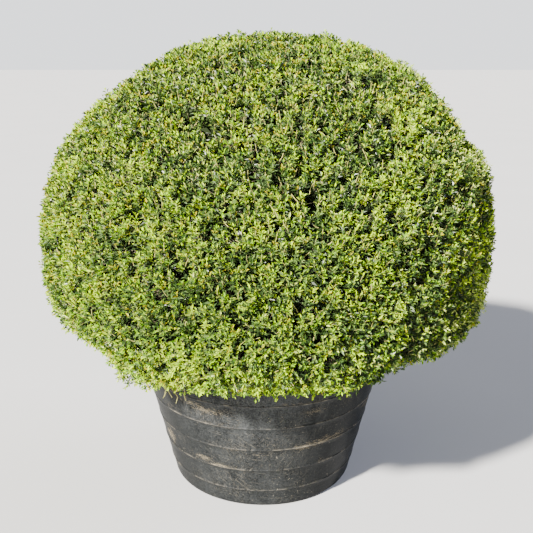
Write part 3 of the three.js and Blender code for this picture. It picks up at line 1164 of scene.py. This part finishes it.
def shootDirections(draw):
    # even all round, with fewer underneath and in the hollows
    count = growth["shoots"]
    d = spiralDirections(count, 1, -0.96, draw, 0.004)
    pick = np.array([[draw() for _ in range(8)] for _ in range(count)])
    normal, area = crownNormals(d)
    keep = pick[:, 0] < area / np.percentile(area, 99)
    keep &= pick[:, 1] > smooth(-0.62, -0.85, d[:, 2]) * 0.75
    hollow = grain(crownPoints(d, np.zeros(len(d))) * flatter, 1 / lumps["hollow"], 80.0)
    hollow += 0.20 * smooth(0.1, 0.5, d[:, 0]) * smooth(-0.1, -0.4, d[:, 2])
    keep &= pick[:, 4] > growth["hollow"] * smooth(0.16, 0.46, hollow)
    return d[keep], normal[keep], pick[keep]


def shootTips(d, normal, pick):
    surface = crownPoints(d, np.zeros(len(d)))
    bulk = grain(surface * flatter, 1 / lumps["bulk"])
    tuft = grain(surface * flatter, 1 / lumps["tuft"], 7.0)
    push = np.stack([grain(surface, 1 / lumps["lean"], 20.0 * (k + 1)) for k in range(3)], 1)
    push -= normal * np.sum(push * normal, axis=1, keepdims=True)
    depth = growth["trim"] + growth["roughness"] * (0.9 * bulk + 0.8 * tuft)
    depth += 12 * pick[:, 2] ** 3 + 9 * (pick[:, 1] - 0.5)
    tips = crownPoints(d, depth) + push * growth["clump"] * 2
    # a few sprigs hang below the belly, and the shears lifted the rest of it
    turn = np.arctan2(d[:, 1], d[:, 0])
    belly = smooth(-0.30, -0.42, d[:, 2]) * smooth(-0.80, -0.66, d[:, 2])
    belly *= 1 - 0.9 * np.exp(-((turn + 0.3) ** 2) / 0.5)
    tips[:, 2] -= growth["hang"] * belly * np.clip(grain(surface, 1 / lumps["hang"], 50.0) * 2.6, 0, 1)
    side = smooth(-0.98, -0.80, turn) * smooth(0.2, -0.3, turn)
    tips[:, 2] += (growth["cutUnder"] + growth["cutMore"] * side) * smooth(-0.40, -0.50, d[:, 2])
    return tips


def nearestTwigs(twigs, tips):
    tree = kdtree.KDTree(len(twigs))
    for k, twig in enumerate(twigs):
        tree.insert(Vector(twig["end"].tolist()), k)
    tree.balance()
    owners = [twigs[tree.find(Vector(p.tolist()))[1]] for p in tips]
    return (np.array([twig[name] for twig in owners]) for name in ("end", "vigour"))


def growHanger(draw, at, aim, apart):
    tip = np.array(at) + [(draw() - 0.5) * 2 * apart for _ in range(3)]
    way = unit(np.array(aim) + [(draw() - 0.5) * 0.9 for _ in range(3)])
    foot = tip - 52 * way
    d = unit(foot - [0, 0, crown["middle"]])
    return {"d": d, "tip": tip, "foot": foot, "grow": way, "pick": [draw() for _ in range(8)]}


def growShoots(twigs):
    draw = seeded(growth["seed"] + 1)
    d, normal, pick = shootDirections(draw)
    tips = shootTips(d, normal, pick)
    feet, vigour = nearestTwigs(twigs, tips)
    wander = (pick[:, 3:6] - 0.5) * growth["wander"]
    tips = tips + wander * 0.3 + normal * ((vigour - 0.5) * 8)[:, None]
    feet = feet + wander * 0.35
    grow = (tips - feet) * 0.6 + normal * 18 + wander * 0.9
    grow[:, 2] += growth["upright"] * smooth(-0.5, 0.1, d[:, 2])
    grow = unit(grow)
    ok = clearOfPot(tips) & clearOfPot(tips - grow * growth["leafy"])
    extra = [growHanger(draw, at, aim, apart) for at, aim, many, apart in hangers for _ in range(many)]
    made = {"d": d, "tip": tips, "foot": feet, "grow": grow, "pick": pick}
    return {name: np.vstack([made[name][ok], *(one[name] for one in extra)]) for name in made}


def growInner():
    draw = seeded(growth["seed"] + 2)
    count = growth["inner"]
    d = spiralDirections(count, 1, -0.9, draw, 0.01)
    pick = np.array([[draw() for _ in range(4)] for _ in range(count)])
    normal = crownNormals(d)[0]
    depth = growth["trim"] + growth["innerDepth"] + growth["innerSpread"] * pick[:, 0]
    where = crownPoints(d, depth)
    grow = unit(normal + (pick[:, 1:4] - 0.5) * 1.6)
    ok = clearOfPot(where) & clearOfPot(where + grow * 34)
    return where[ok], grow[ok]


def growShootWood(shoots):
    wood = Skeleton()
    for foot, tip, grow in zip(shoots["foot"], shoots["tip"], shoots["grow"]):
        wood.add([foot, tip - grow * 3], girths["shoot"])
    return wood


def growCutEnds(shoots):
    wood = Skeleton()
    for tip, grow, pick in zip(shoots["tip"], shoots["grow"], shoots["pick"]):
        if pick[7] > 1 - growth["clipped"]:
            lean = unit(grow + (pick[3:6] - 0.5) * 0.5)
            wood.add([tip - lean * 12, tip + lean * (2 + 8 * pick[2])], girths["cutEnd"])
    growStrays(wood)
    growDeadTwigs(wood)
    return wood


def growStrays(wood):
    # older twigs that the shears laid bare: they lie near the surface and lean up or outwards
    draw = seeded(growth["seed"] + 3)
    for k in range(growth["bareTwigs"]):
        d = spiralDirection(k, growth["bareTwigs"], 1, -0.55, draw, 0.01, True)
        normal = crownNormals(d[None])[0][0]
        side = unit(np.cross(normal, [0, 0, 1.0]) + [1e-6, 0, 0])
        up = np.cross(side, normal)
        along = unit(up * (0.5 + draw()) + side * (draw() - 0.5) * 2.2 + normal * (0.25 + 0.7 * draw()))
        length = 12 + 26 * draw() ** 2
        tip = crownPoint(d, growth["trim"] + 1 + 6 * draw())
        bend = np.array([draw() - 0.5, draw() - 0.5, draw() - 0.5]) * length * 0.22
        path = [tip - along * length, tip - along * length * 0.5 + bend, tip]
        if clearOfPot(np.array(path)).all():
            girth = 0.8 + 0.5 * draw()
            wood.add(path, [girth, girth * 0.9, girth * 0.75])


# Dead twigs that hang from the crown over the rim: turn from the front, lowest point, lean.
deadTwigs = [
    (-37, 346, 4),
    (-35.5, 352, -5),
    (-34.5, 334, 5),
    (-33, 346, 7),
    (-32, 336, -4),
    (-31, 352, 5),
    (-30, 342, -6),
]


def growDeadTwigs(wood):
    draw = seeded(growth["seed"] + 4)
    for turn, low, lean in deadTwigs:
        path = []
        for k in range(6):
            t = k / 5
            a = math.radians(turn + lean * t + 2.5 * (draw() - 0.5))
            r = 408 - 22 * t + 3 * draw()
            path.append((r * math.sin(a), -r * math.cos(a), 432 + (low - 432) * t))
        wood.add(path, girths["dead"])


# Colour and roughness of the fine wood.
woodTints = {
    "youngBark": ((0.20, 0.17, 0.10), 0.75),
    "clippedWood": ((0.42, 0.39, 0.11), 0.7),
}

print("growing limbs, twigs and shoots")
twigs, limbWood = growTwigs(limbs)
shoots = growShoots(twigs)
print("  shoots:", len(shoots["tip"]))
youngBark, clippedWood = (plainFinish(name, *look) for name, look in woodTints.items())
limbPiece = limbWood.piece("limbsAndTwigs", 5, barkFinish)
shootPiece = growShootWood(shoots).piece("shootStems", 3, youngBark)
endPiece = growCutEnds(shoots).piece("clippedEnds", 3, clippedWood)
for piece in (limbPiece, shootPiece, endPiece):
    report(piece)

# leaves
leaf = {
    "long": 11.4,
    "wide": 4.4,
    "fold": 0.56,
    "curl": 0.10,
    "kinds": 8,
    "spacing": 6.2,
    "seed": 7000,
    "darkShine": 0.32,  # gloss of dark leaves, and of pale ones: those with more green than paleFrom
    "paleShine": 0.16,
    "paleFrom": 0.22,
}


def addLeaf(verts, faces, base, along, face, long, wide, full):
    across = np.cross(face, along)
    across = across / np.linalg.norm(across)
    up = np.cross(along, across)
    n = len(verts)
    tip = base + along * long - up * leaf["curl"] * long
    rows = [(0.34, 0.46), (0.72, 0.41)] if full else [(0.48, 0.5)]
    verts.append(base)
    for t, w in rows:
        drop = leaf["fold"] * wide * 0.5 + leaf["curl"] * long * t * t
        for s in (-1, 1):
            verts.append(base + along * long * t + across * (s * w * wide) + up * drop)
    verts.append(tip)
    if full:
        faces += [(n, n + 5, n + 3, n + 1), (n, n + 2, n + 4, n + 5)]
    else:
        faces += [(n, n + 3, n + 1), (n, n + 2, n + 3)]


def addPair(verts, faces, draw, high, turn, open_, long, full):
    axis = np.array([0, 0, 1.0])
    for s in (0, math.pi):
        roll = (draw() - 0.5) * 0.7
        a = turn + s + (draw() - 0.5) * 0.4
        lift = open_ + (draw() - 0.5) * 0.4
        out = np.array([math.cos(a), math.sin(a), 0])
        side = np.array([-math.sin(a), math.cos(a), 0])
        along = out * math.sin(lift) + axis * math.cos(lift)
        face = axis * math.sin(lift) - out * math.cos(lift)
        face = face * math.cos(roll) + side * math.sin(roll)
        size = long * (0.85 + 0.3 * draw())
        base = axis * high + out * 0.6
        addLeaf(verts, faces, base, along, face, size, size * leaf["wide"] / leaf["long"], full)


# How the leaf pairs sit on each part of a shoot: step up it, opening in degrees, length.
leafPairs = {
    "Bud": [(5.8, 20, 0.70)],
    "Tip": [(5.2, 38, 0.92)],
    "High": [(4.8, 48, 1.0)],
    "Mid": [(3, 66, 1.12), (4, 58, 1.04)],
    "Old": [(1.6, 78, 1.25)],
}


def makeSprays(place, pairs, full=False):
    # pairs: step up the shoot, height, opening and length of each pair of leaves
    def makeSpray(name, kind):
        draw = seeded(leaf["seed"] + kind * 13)
        verts, faces = [], []
        for k, high, opening, long in pairs:
            turn = k * math.pi / 2 + (draw() - 0.5) * 0.8
            addPair(verts, faces, draw, high, turn, math.radians(opening), long, full)
        return meshOf(name, verts, faces)

    return makeKinds(f"{place}Spray", leaf["kinds"], makeSpray)


def makeAllSprays():
    made = {"Inner": makeSprays("Inner", [(k, 8 * k, 80 - 7 * k, 22) for k in range(5)])}
    for place, pairs in leafPairs.items():
        top = growth["leafy"] - 7
        pairs = [(k, top - leaf["spacing"] * (5 - k), o, leaf["long"] * long) for k, o, long in pairs]
        made[place] = makeSprays(place, pairs, place == "Tip")
    return made


sprays = makeAllSprays()

# Tints, dealt out by spray: its place on the shoot, share of the shoots, colour, roughness. The pale cream
# and silver tints are partly pale leaves and partly painted glints; the dark tint of the old leaves is
# partly their own colour and partly painted shade deep in the crown.
tints = {
    "sunlit": ("Bud", 0.30, (0.510, 0.740, 0.003), 0.42),
    "young": ("Bud", 0.30, (0.280, 0.445, 0.005), 0.38),
    "budding": ("Bud", 0.30, (0.120, 0.205, 0.028), 0.32),
    "cream": ("Bud", 0.07, (0.590, 0.710, 0.140), 0.36),
    "deep": ("Tip", 0.30, (0.036, 0.078, 0.014), 0.30),
    "green": ("Tip", 0.21, (0.115, 0.195, 0.038), 0.32),
    "fresh": ("Tip", 0.20, (0.200, 0.390, 0.006), 0.38),
    "lime": ("Tip", 0.14, (0.480, 0.670, 0.003), 0.44),
    "silver": ("Tip", 0.05, (0.520, 0.600, 0.170), 0.36),
    "bronze": ("Tip", 0.09, (0.375, 0.350, 0.016), 0.45),
    "ivy": ("High", 0.42, (0.034, 0.074, 0.014), 0.30),
    "moss": ("High", 0.32, (0.120, 0.190, 0.040), 0.32),
    "pear": ("High", 0.26, (0.295, 0.395, 0.012), 0.38),
    "shade": ("Mid", 0.42, (0.026, 0.052, 0.010), 0.32),
    "leaf": ("Mid", 0.36, (0.080, 0.134, 0.038), 0.34),
    "pale": ("Mid", 0.22, (0.215, 0.285, 0.044), 0.38),
    "dark": ("Old", 1.0, (0.020, 0.038, 0.009), 0.40),
}
# the leaves inside the crown are partly their own dark colour and partly painted shade
innerTint = (0.026, 0.040, 0.012)


def dealt(score, place):
    names = [name for name in tints if tints[name][0] == place]
    order = np.argsort(np.argsort(score)) / len(score)
    edges = np.cumsum([tints[name][1] for name in names])
    which = np.searchsorted(edges / edges[-1], order).clip(0, len(names) - 1)
    return {name: which == k for k, name in enumerate(names)}


def dealTints(shoots):
    d, pick = shoots["d"], shoots["pick"]
    patch = 0.6 * grain(shoots["tip"], 1 / 120, 3.0) + 0.8 * grain(shoots["tip"], 1 / 40, 9.0)
    # darker tints on the right and underneath, where shade falls, are painted shade
    right = smooth(0.5, 0.85, d[:, 0])
    low = smooth(-0.1, -0.45, d[:, 2])
    under = low * smooth(0.2, 0.5, d[:, 0])
    # painted light and shade: brighter tints towards the sun on the left and low in front, darker tints on
    # top
    paintedLight = 0.08 * smooth(0.0, -0.7, d[:, 0]) - 0.14 * smooth(0.35, 0.85, d[:, 2])
    paintedLight += 0.28 * (low - under)

    def ranked(own, patchy, shadeRight, shadeUnder):
        return own + patchy * patch + paintedLight - shadeRight * right - shadeUnder * under

    # high scores take the last tints of a place: pale tips, then brown ones where it is dry
    tip = pick[:, 6] + 0.7 * patch + paintedLight - (0.5 * right + 0.9 * under) * (pick[:, 6] < 0.65)
    # pale silver tips and cream buds on the right edge are painted light on leaves that catch the sun there
    tip[pick[:, 7] < 0.07 + 0.30 * right] = 8
    dry = smooth(0.2, 0.8, d[:, 2]) + smooth(0.0, -0.7, d[:, 0])
    tip[pick[:, 7] < 0.04 + 0.12 * dry.clip(0, 1)] = 9
    bud = -ranked(pick[:, 5] - 0.3 * pick[:, 6], 0.65, 0.2, 0.3)
    bud[pick[:, 2] < 0.03 + 0.34 * right] = 9
    high = ranked(0.3 * pick[:, 6] + pick[:, 3], 0.55, 0.2, 0.3)
    mid = ranked(0.3 * pick[:, 6] + pick[:, 5], 0.45, 0.3, 0.4)
    scores = {"Tip": tip, "Bud": bud, "High": high, "Mid": mid, "Old": pick[:, 4]}
    on = {}
    for place, score in scores.items():
        on.update(dealt(score, place))
    return on


def growLeaves(shoots):
    on = dealTints(shoots)
    base = shoots["tip"] - shoots["grow"] * growth["leafy"]
    made = []
    for k, (name, (place, _, colour, rough)) in enumerate(tints.items()):
        shine = leaf["darkShine"] if colour[1] < leaf["paleFrom"] else leaf["paleShine"]
        finish = plainFinish(f"{name}Leaf", colour, rough, shine)
        where, grow = base[on[name]], shoots["grow"][on[name]]
        count, seed = leaf["kinds"], 100 + k
        made.append(growOn(f"{name}{place}Leaves", where, grow, sprays[place], count, seed, finish))
    finish = plainFinish("innerLeaf", innerTint, 0.7, 0.2)
    made.append(growOn("innerLeaves", *growInner(), sprays["Inner"], leaf["kinds"], 140, finish))
    return made


print("growing the leaves")
leafPieces = growLeaves(shoots)
for piece in leafPieces:
    report(piece)
for collection in sprays.values():
    clearAway(collection)

# floor and light
studio = {
    "floor": ((0.505, 0.505, 0.50), (0.52, 0.52, 0.515)),
    "sky": (0.95, 0.97, 1.0),
    "skyStrength": 0.38,
    "backdrop": 1.9,
}
# Each light's strength, colour, spread in degrees and the side it comes from.
lights = {
    "sunLight": (20.6, (1.0, 0.96, 0.90), 4, (-0.535, -0.60, 0.595)),
    "fillLight": (2.1, (0.88, 0.94, 1.24), 30, (1.0, 0.35, 0.55)),
}


def addSun(name, strength, colour, spread, fromSide):
    data = bpy.data.lights.new(name, "SUN")
    data.energy = strength
    data.angle = math.radians(spread)
    data.color = colour
    light = bpy.data.objects.new(name, data)
    light.rotation_euler = (-Vector(fromSide)).to_track_quat("-Z", "Y").to_euler()
    scene.collection.objects.link(light)


def makeStudio():
    mesh = bpy.data.meshes.new("studioFloor")
    mesh.from_pydata([(-40, -40, 0), (40, -40, 0), (40, 40, 0), (-40, 40, 0)], [], [(0, 1, 2, 3)])
    floor = newPiece("studioFloor", mesh)
    kit = Finish("paleFloor")
    soft = kit.span(kit.noise(1.5, 3, 0.5), 0.3, 0.7)
    mesh.materials.append(kit.done({"Base Color": kit.mix(soft, *studio["floor"]), "Roughness": 0.9}))
    world = bpy.data.worlds.new("studioSky")
    world.use_nodes = True
    air = Nodes(world.node_tree)
    seen = air.add("ShaderNodeLightPath").outputs["Is Camera Ray"]
    strength = air.span(seen, 0, 1, studio["skyStrength"], studio["backdrop"])
    sky = {"Color": (*studio["sky"], 1), "Strength": strength}
    air.fill(world.node_tree.nodes["Background"].inputs, sky)
    scene.world = world
    for name, look in lights.items():
        addSun(name, *look)
    return floor


floor = makeStudio()

# hand the pieces to the frame
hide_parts("pot")
for piece in (soilPiece, chipPiece):
    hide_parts("potting_soil")
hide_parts("short_stem")
for piece in [boughPiece, limbPiece, shootPiece, endPiece]:
    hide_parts("clipped_crown")
for piece in leafPieces:
    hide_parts("clipped_crown")
woodPieces = [stemPiece, boughPiece, limbPiece, shootPiece, endPiece]
for piece in [potPiece, soilPiece, chipPiece, *woodPieces, *leafPieces]:
    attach(piece, "root")
